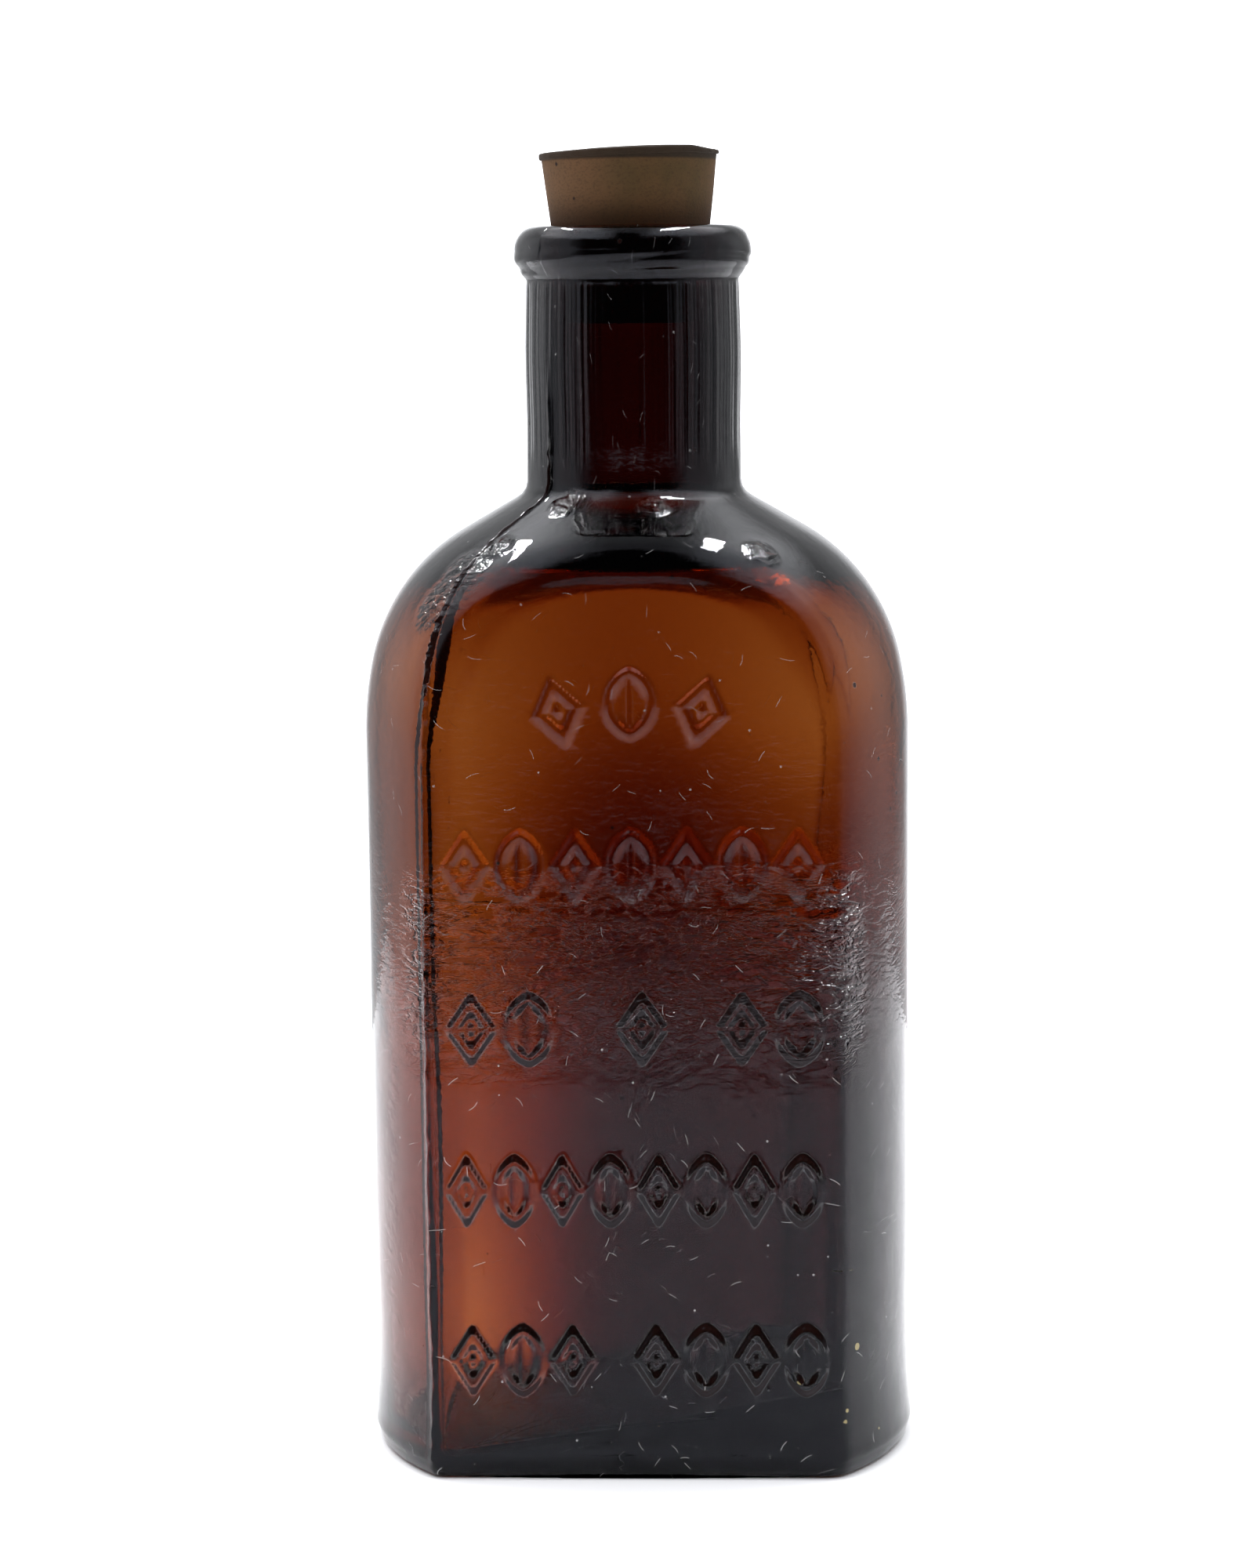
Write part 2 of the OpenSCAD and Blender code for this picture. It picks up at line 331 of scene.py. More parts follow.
def wall_glass(angle, z):
    """Thickness of the round walls: thin, and heavier beside the panels low down on the right."""
    thin = 1.9 + 0.4 * smoothstep(75, 35, z) - 0.5 * smoothstep(85, 105, z)
    beside = np.exp(-((np.abs(np.cos(angle)) - 0.57) / 0.35) ** 2) * smoothstep(0, 0.5, np.sin(angle))
    return thin + 4.2 * beside * smoothstep(100, 22, z)


def glass_points(rows, angles):
    """Positions of the glass surface for arrays of rows and angles."""
    r, z, flat, inside = (rows[:, c][:, None] for c in range(4))
    phi = angles[None, :]
    outside = 1 - inside

    # Plan: a circle cut by two flats. Two corners are crisp and two are soft.
    crisp = smoothstep(-0.3, 0.3, np.sin(-2 * phi))
    high = smoothstep(92, 119, z)
    soft = (1.5 - 1.0 * crisp + 1.2 * smoothstep(60, 95, z)) * (1 - high) + 3.6 * high
    heavy = smoothstep(-0.2, 0.6, np.sin(phi)) * smoothstep(92, 40, z)
    rounded = 2.0 + 5.0 * heavy + 3.0 * smoothstep(94, 110, z) + 4.0 * smoothstep(112, 121, z)
    blend = outside * soft + inside * rounded
    facing = np.maximum(np.abs(np.cos(phi)), 1e-6)
    # The panels' inner faces and the inside of the round walls follow the uneven glass.
    body = inside * smoothstep(BASE_T - 4, BASE_T + 3, z)
    flat = flat - body * (panel_glass(r * np.sin(phi), z) - WALL)
    r = r - body * (wall_glass(phi, z) - WALL) * smoothstep(129, 120, z) * smoothstep(10, 20, r)
    radius = smooth_min(r, np.minimum(flat / facing, 200), np.minimum(blend, 0.6 * r + 0.2))

    # Both surfaces wave a little.
    body = smoothstep(BASE_T + 2, 30, z) * smoothstep(128, 112, z)
    radius = radius + inside * 0.12 * body * ripple(phi, z, 9, 4)
    radius = radius + outside * 0.05 * smoothstep(4, 20, z) * ripple(phi, z, 7, 11)

    # Mould seams: sharp ridges up two opposite corners, fading out on the neck.
    draw = np.random.default_rng(8)
    for side in (0, math.pi):
        ragged = draw.uniform(-1, 1, (len(rows), 1))
        ragged = (ragged + 0.6 * np.roll(ragged, 1, 0)) / 1.3
        turn = np.angle(np.exp(1j * (phi - SEAM - side)))
        away = turn * radius + 0.12 * np.roll(ragged, 3, 0)
        fade = smoothstep(1.5, 3.5, z) * smoothstep(147, 132, z) * outside
        tall = 0.45 + 0.35 * smoothstep(96, 112, z)
        radius = radius + fade * tall * (0.8 + 0.35 * ragged) * np.exp(-(away / 0.3) ** 2)
        step = smoothstep(98, 110, z) * smoothstep(136, 126, z) * outside
        radius = radius + 0.16 * step * np.sign(turn) * np.exp(-np.abs(turn) / 0.25) * (np.abs(turn) > 1e-4)

    # The neck is drawn out in faint upright folds.
    folds = sum(np.sin(k * phi + 1.7 * k * k) / k for k in (7, 11, 17, 23))
    on_neck = smoothstep(NECK_Z, NECK_Z + 6, z) * smoothstep(LIP_Z, LIP_Z - 3, z)
    radius = radius + outside * 0.35 * folds * on_neck

    # The floor of the inside is higher on the right.
    z = z + inside * 0.15 * radius * np.sin(phi) * smoothstep(24, 7, z)

    # Base-plate seam, just above the heel.
    radius = radius + outside * 0.16 * np.exp(-((z - HEEL_UP) / 0.3) ** 2) * (r > FOOT_R - 2)

    # Tooling marks that wind round the lip and the top of the neck.
    on_lip = smoothstep(LIP_Z - 0.2, LIP_Z + 0.6, z) * outside
    for start, slope, depth, width in TOOL_MARKS:
        line = start + slope * np.sin(phi + start) + 0.4 * np.sin(2 * phi + start)
        groove = np.exp(-((z - line) / width) ** 2) * (0.6 + 0.4 * np.sin(phi * 1.5 + start))
        radius = radius - on_lip * depth * groove
    radius = radius + on_lip * 0.12 * ripple(phi, z * 4, 5, 23)

    x = radius * np.sin(phi)
    y = -radius * np.cos(phi)
    up = z + 0 * phi
    # Raised ornament on the front panel only.
    front = (np.cos(phi) > 0.2) & (outside > 0.5) & (z > 4) & (z < 124)
    high_spots = np.zeros_like(x)
    high_spots[front] = relief(x[front], up[front])
    y = y - high_spots * smoothstep(PANEL_Y - 5.5, PANEL_Y - 3.5, -y)
    return np.stack([x, y, up], -1), high_spots


def refined_grid(name, rows, angles, factor):
    """One closed mesh from a grid that is open along neither edge: its first and last rows are
    poles. Cells with relief are split into factor x factor smaller ones, and their neighbours
    take in the extra corners, so that no edge is left open."""
    k, m = len(rows), len(angles)
    loop = np.append(angles, angles[0] + 2 * math.pi)
    fine_rows = np.stack([np.interp(np.arange((k - 1) * factor + 1) / factor, np.arange(k), rows[:, c])
                          for c in range(4)], 1)
    fine_rows[:, 3] = np.round(fine_rows[:, 3])
    fine_angles = np.interp(np.arange(m * factor) / factor, np.arange(m + 1), loop)
    points, spots = glass_points(fine_rows, fine_angles)
    width = m * factor
    busy = np.zeros((k - 1, m), bool)
    cells = np.pad(spots, ((0, 0), (0, 1)), mode="wrap")
    for i in range(k - 1):
        band = cells[i * factor:(i + 1) * factor + 1]
        for j in range(m):
            block = band[:, j * factor:(j + 1) * factor + 1]
            busy[i, j] = np.ptp(block) > 0.004
    busy[:2] = False
    busy[-2:] = False

    faces = []
    key = lambda i, j: i * width + (j % width)
    for i in range(k - 1):
        for j in range(m):
            i0, j0 = i * factor, j * factor
            if busy[i, j]:
                for a in range(factor):
                    for b in range(factor):
                        p, q = i0 + a, j0 + b
                        faces.append((key(p, q), key(p, q + 1), key(p + 1, q + 1), key(p + 1, q)))
                continue
            ring = []
            below, above = i > 0 and busy[i - 1, j], i < k - 2 and busy[i + 1, j]
            right, left = busy[i, (j + 1) % m], busy[i, j - 1]
            ring += [key(i0, j0 + b) for b in range(0, factor, 1 if below else factor)]
            ring += [key(i0 + a, j0 + factor) for a in range(0, factor, 1 if right else factor)]
            ring += [key(i0 + factor, j0 + factor - b) for b in range(0, factor, 1 if above else factor)]
            ring += [key(i0 + factor - a, j0) for a in range(0, factor, 1 if left else factor)]
            if i == 0:
                ring = [0] + [v for v in ring if v >= width]
            if i == k - 2:
                last = (k - 1) * factor * width
                ring = [v for v in ring if v < last] + [last]
            faces.append(tuple(ring))
    used = sorted({v for f in faces for v in f})
    place = {v: n for n, v in enumerate(used)}
    flat = points.reshape(-1, 3)[used] * MM
    return make_mesh(name, flat, [tuple(place[v] for v in f) for f in faces])


def make_mesh(name, points, faces):
    mesh = bpy.data.meshes.new(name)
    mesh.from_pydata([tuple(p) for p in points], [], faces)
    mesh.validate()
    mesh.shade_smooth()
    piece = bpy.data.objects.new(name, mesh)
    bpy.context.scene.collection.objects.link(piece)
    return piece


# ---------------------------------------------------------------- materials
class Nodes:
    """Short calls for building the node tree of a material or a world."""

    def __init__(self, owner, output):
        self.owner = owner
        owner.use_nodes = True
        self.tree = owner.node_tree
        self.tree.nodes.clear()
        self.out = self.add(output)

    def link(self, shader, socket="Surface"):
        self.put(self.out.inputs[socket], shader.outputs[0])

    def add(self, kind, **values):
        node = self.tree.nodes.new("ShaderNode" + kind)
        for key, value in values.items():
            if hasattr(node, key):
                setattr(node, key, value)
            else:
                self.put(node.inputs[key.replace("_", " ")], value)
        return node

    def put(self, socket, value):
        if isinstance(value, bpy.types.NodeSocket):
            self.tree.links.new(value, socket)
        else:
            socket.default_value = value

    def math(self, operation, a, b=0.0, clamp=False):
        node = self.add("Math", operation=operation, use_clamp=clamp)
        self.put(node.inputs[0], a)
        self.put(node.inputs[1], b)
        return node.outputs[0]

    def remap(self, value, low, high, to_low=0.0, to_high=1.0):
        node = self.add("MapRange", interpolation_type="SMOOTHSTEP")
        for i, v in enumerate((value, low, high, to_low, to_high)):
            self.put(node.inputs[i], v)
        return node.outputs[0]

    def mix(self, factor, a, b):
        node = self.add("Mix", data_type="RGBA")
        self.put(node.inputs[0], factor)
        self.put(node.inputs[6], a)
        self.put(node.inputs[7], b)
        return node.outputs[2]

    def noise(self, vector, scale, detail=2.0, rough=0.5, twist=0.0):
        node = self.add("TexNoise", Vector=vector, Scale=scale, Detail=detail, Roughness=rough,
                        Distortion=twist)
        return node.outputs[0]

    def bump(self, height, strength, distance, before=None):
        node = self.add("Bump", Height=height, Strength=strength, Distance=distance)
        if before is not None:
            self.put(node.inputs["Normal"], before)
        return node.outputs[0]

    def fibres(self, sheet, scale, reach, width, rarity):
        """Short bent lines at random places and angles on a flat sheet: 1 on them, else 0."""
        cells = self.add("TexVoronoi", voronoi_dimensions="2D", Vector=sheet, Scale=scale)
        dice = self.add("SeparateColor", Color=cells.outputs["Color"]).outputs
        away = self.add("VectorMath", operation="SUBTRACT")
        self.put(away.inputs[0], sheet)
        self.put(away.inputs[1], cells.outputs["Position"])
        turn = self.add("VectorRotate", rotation_type="Z_AXIS", Vector=away.outputs[0],
                        Angle=self.math("MULTIPLY", dice[0], 2 * math.pi))
        u, v, _ = self.add("SeparateXYZ", Vector=turn.outputs[0]).outputs
        bend = self.math("MULTIPLY", self.math("SUBTRACT", dice[1], 0.5), 700.0)
        v = self.math("ADD", v, self.math("MULTIPLY", bend, self.math("MULTIPLY", u, u)))
        on = self.math("MULTIPLY", self.remap(self.math("ABSOLUTE", v), width, width * 0.5),
                       self.remap(self.math("ABSOLUTE", u), reach, reach * 0.7))
        return self.math("MULTIPLY", on, self.remap(dice[2], rarity, rarity + 0.02))

    def near(self, place, spot, inner, outer):
        """1 within a distance of a spot, falling to 0 at a wider one."""
        apart = self.add("VectorMath", operation="DISTANCE")
        self.put(apart.inputs[0], place)
        self.put(apart.inputs[1], spot)
        return self.remap(apart.outputs["Value"], outer, inner)

    def stretched(self, source, scale):
        node = self.add("Mapping")
        self.put(node.inputs["Vector"], source)
        self.put(node.inputs["Scale"], scale)
        return node.outputs[0]


SHEET_R = 0.031                 # radius, in metres, that turns angles into lengths for patterns
# Crinkled patches of the shoulder: middle, radius of the crinkled part, radius where it ends.
CRINKLED = [
    ((-0.0235, -0.0185, 0.1130), 0.002, 0.005),
    ((-0.0205, -0.0180, 0.1175), 0.002, 0.005),
    ((-0.0165, -0.0180, 0.1205), 0.001, 0.003),
    ((0.0165, -0.0195, 0.1195), 0.001, 0.0032),
    ((-0.0080, -0.0145, 0.1265), 0.001, 0.0034),
    ((0.0030, -0.0165, 0.1260), 0.001, 0.0026),
]


def new_material(name):
    return Nodes(bpy.data.materials.new(name), "OutputMaterial")


def glass_material():
    n = new_material("amber_glass")
    place = n.add("TexCoord").outputs["Object"]
    x, y, height = n.add("SeparateXYZ", Vector=place).outputs
    # Coordinates round the bottle and up it, in metres.
    round_it = n.math("MULTIPLY", n.math("ARCTAN2", x, n.math("MULTIPLY", y, -1.0)), SHEET_R)
    sheet = n.add("CombineXYZ", X=round_it, Y=height).outputs[0]

    # Marks of the cold mould. In a band across the panel the smooth glass is broken by narrow
    # level cracks, and there are dents in patches on the shoulder and faint ones elsewhere.
    band = n.math("MULTIPLY", n.remap(height, 0.050, 0.066), n.remap(height, 0.082, 0.074))
    band = n.math("MULTIPLY", band, n.remap(y, -0.019, -0.0235, 0.03, 1.0))
    band = n.math("MULTIPLY", band, n.remap(x, -0.020, 0.000, 0.55, 1.15))
    mask = 0.06
    for spot, inner, outer in CRINKLED:
        mask = n.math("ADD", mask, n.math("MULTIPLY", n.near(place, spot, inner, outer), 1.5))
    dents = n.noise(n.stretched(sheet, (0.45, 1.0, 1.0)), 1300.0, 2.5, 0.55, 0.5)
    crack = n.noise(n.stretched(sheet, (0.42, 1.0, 1.0)), 620.0, 3.0, 0.6, 0.4)
    crack = n.remap(n.math("ABSOLUTE", n.math("SUBTRACT", crack, 0.5)), 0.0, 0.075)
    crack = n.math("MULTIPLY", crack, band)
    # Fine upright lines on the neck.
    drawn = n.math("MULTIPLY", n.noise(n.stretched(sheet, (1.0, 0.02, 1.0)), 300.0, 2.0, 0.5),
                   n.remap(height, 0.129, 0.135, 0.0, 1.3))
    drawn = n.math("MULTIPLY", drawn, n.remap(height, 0.1552, 0.154))
    peel = n.noise(place, 150.0, 2.0, 0.4)
    normal = n.bump(peel, 0.3, 0.0003)
    dents = n.math("ADD", n.math("MULTIPLY", dents, mask), crack)
    normal = n.bump(n.math("ADD", dents, drawn), 0.9, 0.0004, normal)

    # Dust: short curved fibres, fine specks, and yellowish crumbs low on the right.
    low = n.remap(height, 0.13, 0.02, 0.4, 1.0)
    lint = n.fibres(sheet, 260.0, 0.0008, 0.00005, 0.70)
    cells = n.add("TexVoronoi", Vector=place, Scale=520.0)
    chance = n.add("SeparateColor", Color=cells.outputs["Color"]).outputs
    speck = n.math("MULTIPLY", n.remap(cells.outputs["Distance"], 0.11, 0.05), n.remap(chance[0], 0.90, 0.92))
    crumb_zone = n.math("MULTIPLY", n.remap(x, -0.004, 0.018, 0.0, 0.24), n.remap(height, 0.032, 0.012))
    crumb_zone = n.math("MULTIPLY", crumb_zone, n.remap(y, -0.016, -0.022, 0.1, 1.0))
    size = n.math("MULTIPLY", chance[2], 0.3)
    crumb = n.math("MULTIPLY", n.math("LESS_THAN", cells.outputs["Distance"], size),
                   n.math("GREATER_THAN", crumb_zone, n.math("SUBTRACT", 1.0, chance[1])))
    dust_and_shade = n.math("MULTIPLY", n.math("MAXIMUM", lint, speck), low)
    dust_and_shade = n.math("MAXIMUM", n.math("MULTIPLY", dust_and_shade, 0.45), crumb, clamp=True)
    haze = n.math("MULTIPLY", n.remap(n.noise(place, 60.0, 4.0, 0.6), 0.45, 0.75), low)
    dust_and_shade_tint = n.mix(crumb, (0.62, 0.58, 0.54, 1), (0.34, 0.28, 0.13, 1))
    # One dark stone is caught in the glass beside the top of the panel.
    stone = n.near(place, (0.0290, -0.0212, 0.1035), 0.0003, 0.0007)
    # Painted shade: a dark line is painted along the crease beside the parting line. Small dark specks are
    # scattered over the glass.
    jag = n.math("MULTIPLY", n.math("SUBTRACT", n.noise(sheet, 1100.0, 3.0, 0.7), 0.5), 0.0007)
    line = n.remap(height, 0.092, 0.106, SEAM * SHEET_R - 0.0011, SEAM * SHEET_R - 0.0001)
    across = n.math("ADD", n.math("SUBTRACT", round_it, line), jag)
    wide = n.remap(height, 0.095, 0.115, 0.0003, 0.00085)
    crease_shade = n.remap(n.math("ABSOLUTE", across), wide, n.math("MULTIPLY", wide, 0.5))
    crease_shade = n.math("MULTIPLY", crease_shade, n.remap(height, 0.136, 0.126))
    pit = n.math("MULTIPLY", n.remap(cells.outputs["Distance"], 0.16, 0.10), n.remap(chance[1], 0.05, 0.04))
    # Painted shade darkens the walls of the raised marks, which lean up or down out of the panel.
    facing = n.add("SeparateXYZ", Vector=n.add("TexCoord").outputs["Normal"]).outputs
    relief_wall_shade = n.remap(n.math("ABSOLUTE", facing[2]), 0.08, 0.40, 0.0, 0.95)
    relief_wall_shade = n.math("MULTIPLY", relief_wall_shade, n.remap(height, 0.078, 0.066))
    relief_wall_shade = n.math("MULTIPLY", relief_wall_shade, n.remap(height, 0.006, 0.010))
    relief_wall_shade = n.math("MULTIPLY", relief_wall_shade, n.remap(x, -0.016, 0.010, 0.5, 1.0))
    stone_specks_and_shade = n.math("MAXIMUM", n.math("MAXIMUM", stone, relief_wall_shade), n.math("MAXIMUM", crease_shade, pit))
    # Even the thin edges of the specks, the stone and the painted shade are dark.
    solid_specks_and_shade = n.math("MULTIPLY", stone_specks_and_shade, 5.0, clamp=True)
    dust_and_shade_tint = n.mix(solid_specks_and_shade, dust_and_shade_tint, (0.012, 0.004, 0.003, 1))
    # From here the dust mask also carries the stone, the specks and the painted shade.
    dust_and_shade = n.math("MAXIMUM", dust_and_shade, stone_specks_and_shade)

    shader = n.add("BsdfPrincipled", IOR=1.52)
    shader.inputs["Specular Tint"].default_value = (0.32, 0.33, 0.37, 1)
    n.put(shader.inputs["Base Color"], n.mix(n.math("MAXIMUM", dust_and_shade, solid_specks_and_shade), (1, 1, 1, 1), dust_and_shade_tint))
    n.put(shader.inputs["Transmission Weight"], n.math("SUBTRACT", 1.0, n.math("MULTIPLY", dust_and_shade, 0.8)))
    n.put(shader.inputs["Roughness"], n.math("ADD", n.math("MULTIPLY", haze, 0.1), 0.02))
    n.put(shader.inputs["Normal"], normal)
    soak = n.add("VolumeAbsorption", Color=(0.68, 0.40, 0.02, 1), Density=1400.0)
    n.link(shader)
    n.link(soak, "Volume")
    return n.owner


def stopper_material():
    n = new_material("stopper_rubber")
    place = n.add("TexCoord").outputs["Object"]
    parts = n.add("SeparateXYZ", Vector=place)
    blotch = n.noise(place, 120.0, 3.0, 0.55)
    grain = n.noise(n.stretched(place, (1, 1, 1.5)), 2600.0, 3.0, 0.6)
    tone = n.mix(n.remap(blotch, 0.35, 0.65), (0.085, 0.042, 0.014, 1), (0.058, 0.034, 0.010, 1))
    # Painted light: the left side of the stopper is painted lighter and warmer.
    painted_light_left = n.remap(parts.outputs[0], 0.004, -0.011)
    tone = n.mix(n.math("MULTIPLY", painted_light_left, 0.6), tone, (0.15, 0.075, 0.036, 1))
    # Painted shade: the stopper is painted darker towards its lower end, just above the mouth.
    low = n.remap(parts.outputs[2], 0.1668, 0.1615)
    tone = n.mix(n.math("MULTIPLY", low, 0.65), tone, (0.028, 0.010, 0.004, 1))
    rim = n.remap(parts.outputs[2], 0.1703, 0.1707)
    tone = n.mix(n.math("MULTIPLY", rim, 0.85), tone, (0.012, 0.008, 0.005, 1))
    tone = n.mix(n.remap(grain, 0.45, 0.7, 0.0, 0.4), tone, (0.03, 0.017, 0.008, 1))
    cells = n.add("TexVoronoi", Vector=place, Scale=420.0)
    pick = n.add("SeparateColor", Color=cells.outputs["Color"]).outputs[0]
    pit = n.math("MULTIPLY", n.remap(cells.outputs["Distance"], 0.16, 0.08), n.remap(pick, 0.93, 0.94))
    tone = n.mix(pit, tone, (0.008, 0.004, 0.003, 1))
    shader = n.add("BsdfPrincipled", Roughness=0.78)
    shader.inputs["Specular IOR Level"].default_value = 0.2
    n.put(shader.inputs["Base Color"], tone)
    normal = n.bump(blotch, 0.3, 0.0003)
    n.put(shader.inputs["Normal"], n.bump(grain, 0.5, 0.00008, normal))
    n.link(shader)
    return n.owner


# ---------------------------------------------------------------- pieces
def build_glass():
    piece = refined_grid("glass_bottle", glass_stations(), glass_columns(), 4)
    piece.data.materials.append(glass_material())
    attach(piece, "bottle")
    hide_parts("bottle_glass", "lip_ring")
    return piece


STOP_R1 = stop_high.x - 0.15    # upper end of the stopper, below its rim
STOP_LEAN = -0.012              # the stopper leans a little to the left


def bore_at(z):
    """Radius of the mouth at a height."""
    return np.interp(z, [BORE_Z, MOUTH_Z], [BORE_R, MOUTH_R])


def build_stopper():
    top = STOP_Z1 - 0.6
    side = [(0, STOP_Z0 + 0.05), (STOP_R0 * 0.5, STOP_Z0), (STOP_R0 - 0.5, STOP_Z0),
            (STOP_R0 - 0.12, STOP_Z0 + 0.12), (STOP_R0, STOP_Z0 + 0.5),
            (STOP_R1 - 0.12, top - 1.0), (STOP_R1 - 0.1, top - 0.9), (STOP_R1 + 0.14, top - 0.8),
            (STOP_R1 + 0.2, top - 0.6), (STOP_R1 + 0.2, top - 0.12), (STOP_R1 + 0.08, top),
            (STOP_R1 - 0.3, top + 0.03), (STOP_R1 * 0.6, top + 0.3), (0, top + 0.5)]
    steps = [1.5, 1.5, 0.2, 0.2, 0.5, 0.1, 0.1, 0.1, 0.2, 0.1, 0.2, 1.2, 1.2]
    path = np.vstack([resample(side[i:i + 2], s)[:-1] for i, s in enumerate(steps)] + [side[-1:]])
    count = 160
    phi = np.linspace(0, 2 * math.pi, count, endpoint=False)[None, :]
    r, z = path[:, :1], path[:, 1:]
    r = r * (1 + 0.004 * ripple(phi, z, 4, 5))
    rim = smoothstep(top - 1.0, top - 0.7, z)
    ragged = wander(6 * np.sin(phi), 6 * np.cos(phi), z * 0.4, 0.9, 3)
    r = r + rim * 0.09 * ragged * (r > STOP_R1 - 1)
    x, y = r * np.sin(phi), -r * np.cos(phi)
    # The top slopes up to the right and is cut away at its right edge.
    slope = smoothstep(top - 6, top, z) * (0.036 * x + 0.45)
    cut = smoothstep(STOP_R1 - 3.6, STOP_R1, x) * smoothstep(top - 1.2, top, z)
    z = z + slope - cut * (0.55 + 0.12 * ragged)
    x = x + STOP_LEAN * (z - MOUTH_Z) - 0.15
    # Inside the mouth it is squeezed to fit.
    allowed = bore_at(z) - STOP_GAP
    off = np.hypot(x, y)
    pull = np.where((z < MOUTH_Z) & (off > allowed), allowed / np.maximum(off, 1e-6), 1.0)
    x, y = x * pull, y * pull
    rows = len(path)
    points = np.stack(np.broadcast_arrays(x, y, z), -1).reshape(-1, 3) * MM
    faces = []
    for i in range(rows - 1):
        for j in range(count):
            a, b = i * count + j, i * count + (j + 1) % count
            c, d = b + count, a + count
            if i == 0:
                faces.append((0, c, d))
            elif i == rows - 2:
                faces.append((a, b, (rows - 1) * count))
            else:
                faces.append((a, b, c, d))
    used = sorted({v for f in faces for v in f})
    place = {v: k for k, v in enumerate(used)}
    piece = make_mesh("stopper_body", points[used], [tuple(place[v] for v in f) for f in faces])
    piece.data.materials.append(stopper_material())
    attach(piece, "stopper")
    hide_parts("stopper")
    return piece


# ---------------------------------------------------------------- studio
def build_floor():
    """A pale table top that ends a little way off, all round the bottle."""
    left, right, front, back, level = -0.34, 0.34, -0.33, 0.28, -0.00005
    points = [(left, front, level), (right, front, level), (right, back, level), (left, back, level)]
    floor = make_mesh("floor", points, [(0, 1, 2, 3)])
    n = new_material("floor_paper")
    shader = n.add("BsdfPrincipled", Roughness=0.9)
    shader.inputs["Base Color"].default_value = (0.93, 0.93, 0.94, 1)
    n.link(shader)
    floor.data.materials.append(n.owner)


def build_world():
    """White to the camera. The room itself is dark in front, grey at the sides, and bright behind
    and high up on both sides. The table's brightness goes on below the horizon."""
    n = Nodes(bpy.data.worlds.new("studio"), "OutputWorld")
    bpy.context.scene.world = n.owner
    way = n.add("SeparateXYZ", Vector=n.add("TexCoord").outputs["Generated"]).outputs
    front = n.remap(way[2], 0.78, 0.92, 0.04, 0.6)
    side = n.math("ADD", n.remap(way[2], -0.05, 0.25, 0.5, 0.62), n.math("MULTIPLY", way[0], -0.15))
    level = n.add("Mix", Factor=n.remap(way[1], -0.62, -0.45), A=front, B=side).outputs[0]
    level = n.math("ADD", level, n.remap(way[1], 0.90, 0.985, 0.0, 0.65))
    aside = n.math("ABSOLUTE", way[0])
    level = n.math("ADD", level, n.math("MULTIPLY", n.remap(aside, 0.6, 0.92), 0.5))
    high_up = n.math("MULTIPLY", n.remap(aside, 0.1, 0.4, 0.0, 2.6), n.remap(way[2], 0.5, 0.75))
    level = n.math("ADD", level, high_up)
    above = n.math("MULTIPLY", n.remap(way[1], 0.33, 0.42), n.remap(way[2], 0.55, 0.75))
    above = n.math("MULTIPLY", above, n.remap(aside, 0.22, 0.1))
    level = n.math("MULTIPLY", level, n.math("SUBTRACT", 1.0, n.math("MULTIPLY", above, 0.9)))
    level = n.add("Mix", Factor=n.remap(way[2], -0.125, -0.20), A=level, B=1.0).outputs[0]
    seen = n.add("LightPath").outputs["Is Camera Ray"]
    strength = n.math("ADD", level, n.math("MULTIPLY", seen, 1.2))
    shade = n.add("Background", Color=(0.96, 0.97, 1.0, 1), Strength=strength)
    n.link(shade)


def sky_light(strength, azimuth, elevation, spread):
    """Light that falls evenly on the whole table and isn't mirrored in the glass."""
    light = bpy.data.lights.new("sky", "SUN")
    light.energy = strength
    light.angle = math.radians(spread)
    lamp = bpy.data.objects.new("sky", light)
    a, e = math.radians(azimuth), math.radians(elevation)
    back = Vector((math.sin(a) * math.cos(e), -math.cos(a) * math.cos(e), math.sin(e)))
    lamp.rotation_mode = "QUATERNION"
    lamp.rotation_quaternion = back.to_track_quat("Z", "Y")
    lamp.visible_glossy = False
    bpy.context.scene.collection.objects.link(lamp)


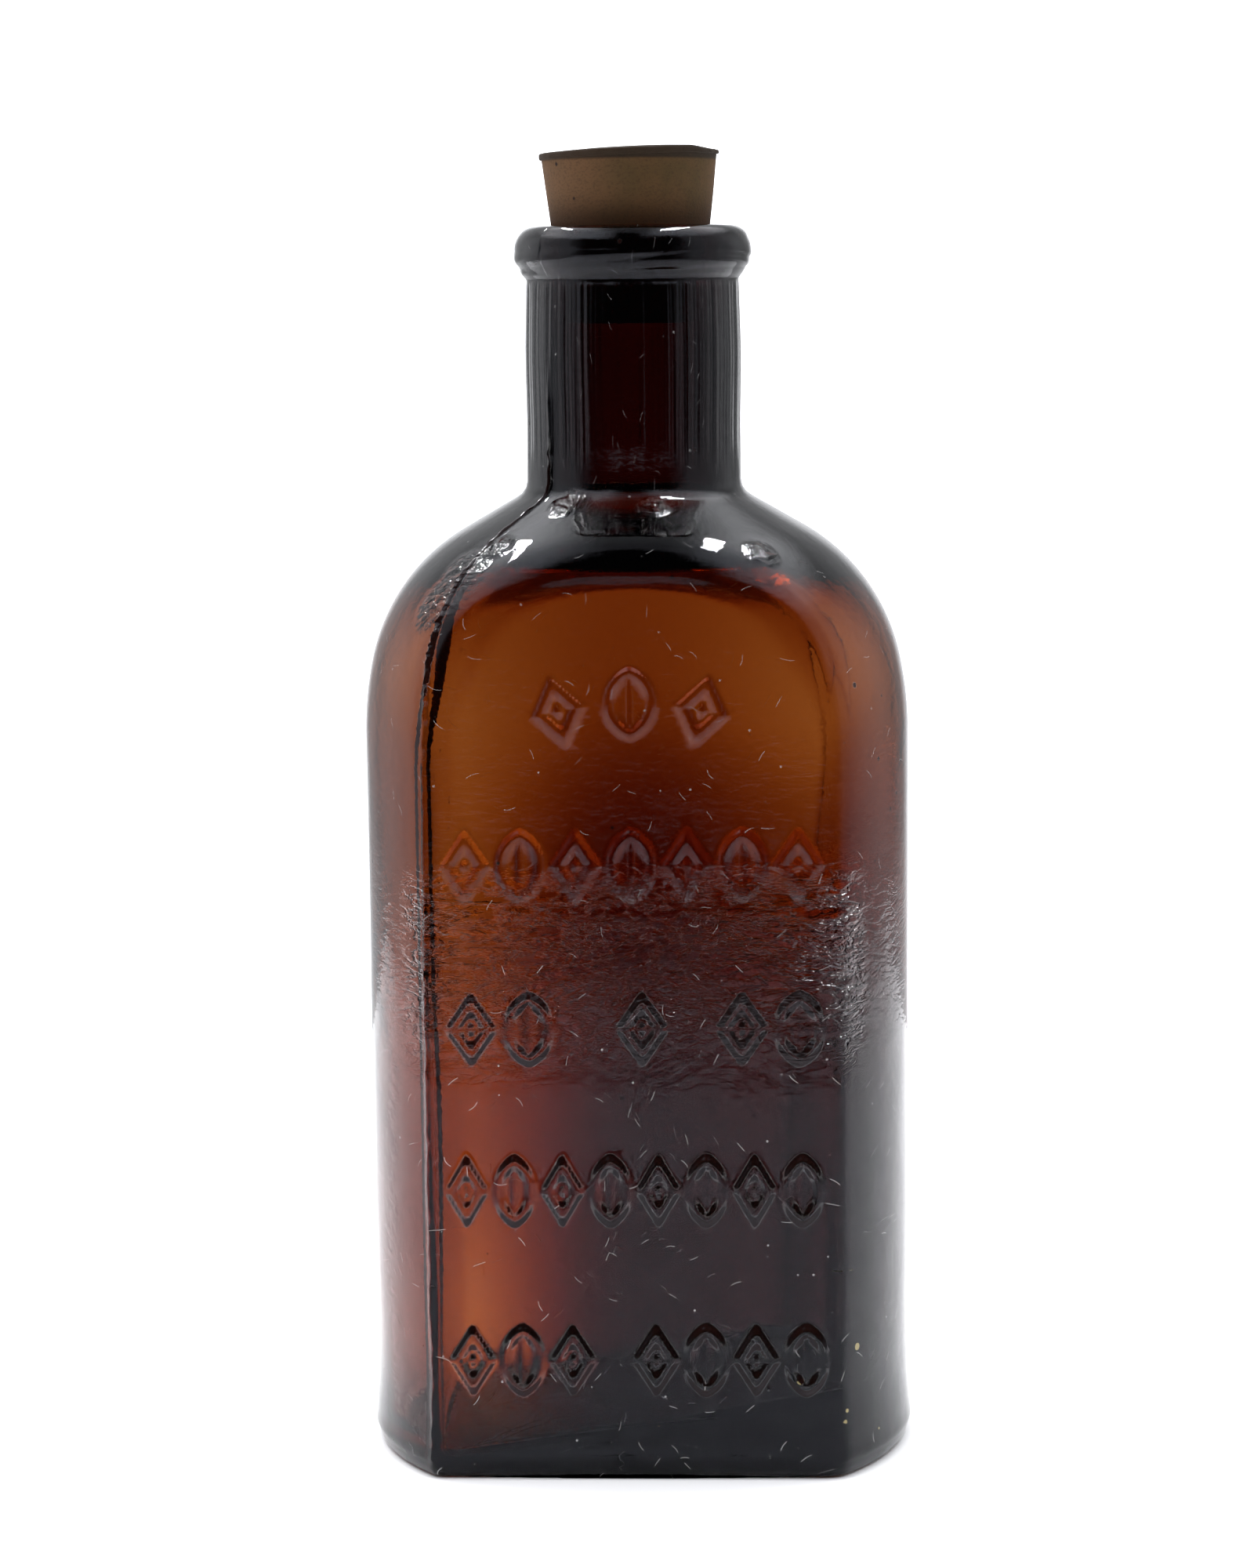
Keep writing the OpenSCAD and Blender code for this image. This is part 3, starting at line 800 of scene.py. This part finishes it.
def mirrored(azimuth, elevation):
    """Direction that the camera sees mirrored in glass facing that way, as a unit vector.
    Azimuth 0 is in front and 90 to the right."""
    a, e = math.radians(azimuth), math.radians(elevation)
    face = Vector((math.sin(a) * math.cos(e), -math.cos(a) * math.cos(e), math.sin(e)))
    to_camera = Vector((0, -1, 0.08)).normalized()
    return 2 * face.dot(to_camera) * face - to_camera


def strip_light(name, start, end, width, glow):
    """A long lamp a metre off between two directions. It's mirrored in the glass, and lights
    nothing else."""
    middle, along = (start + end) / 2, (end - start).normalized()
    back = (middle - middle.dot(along) * along).normalized()
    light = bpy.data.lights.new(name, "AREA")
    light.shape = "RECTANGLE"
    light.size, light.size_y = width, (end - start).length
    light.energy = glow * math.pi * light.size * light.size_y
    lamp = bpy.data.objects.new(name, light)
    turn = Matrix((along.cross(back), along, back)).transposed().to_4x4()
    lamp.matrix_world = Matrix.Translation(middle + Vector((0, 0, 0.12))) @ turn
    lamp.visible_diffuse = False
    bpy.context.scene.collection.objects.link(lamp)


def build_camera():
    """The viewpoint, in the bottle's own frame: nearly square on, from just above the middle."""
    turn, pitch, roll = math.radians(2.32), math.radians(7.21), math.radians(-0.6)
    spot = Matrix.Rotation(turn, 4, "Z") @ Vector((-0.0014, -0.512, 0.153))
    camera = bpy.data.cameras.new("camera")
    camera.sensor_width = 36
    camera.lens = 88.7
    camera.clip_start = 0.01
    seat = bpy.data.objects.new("camera", camera)
    seat.matrix_world = (Matrix.Translation(spot) @ Matrix.Rotation(turn, 4, "Z")
                         @ Matrix.Rotation(math.pi / 2 - pitch, 4, "X") @ Matrix.Rotation(roll, 4, "Z"))
    bpy.context.scene.collection.objects.link(seat)
    bpy.context.scene.camera = seat


build_camera()
build_world()
build_floor()
sky_light(2.6, 200, 75, 60)
strip_light("strip_left", mirrored(-31, 43), mirrored(-40, 55), 0.05, 95)
strip_light("strip_right", mirrored(16, 43), mirrored(26, 57), 0.07, 95)
build_glass()
build_stopper()
bpy.context.scene.view_settings.view_transform = "Standard"
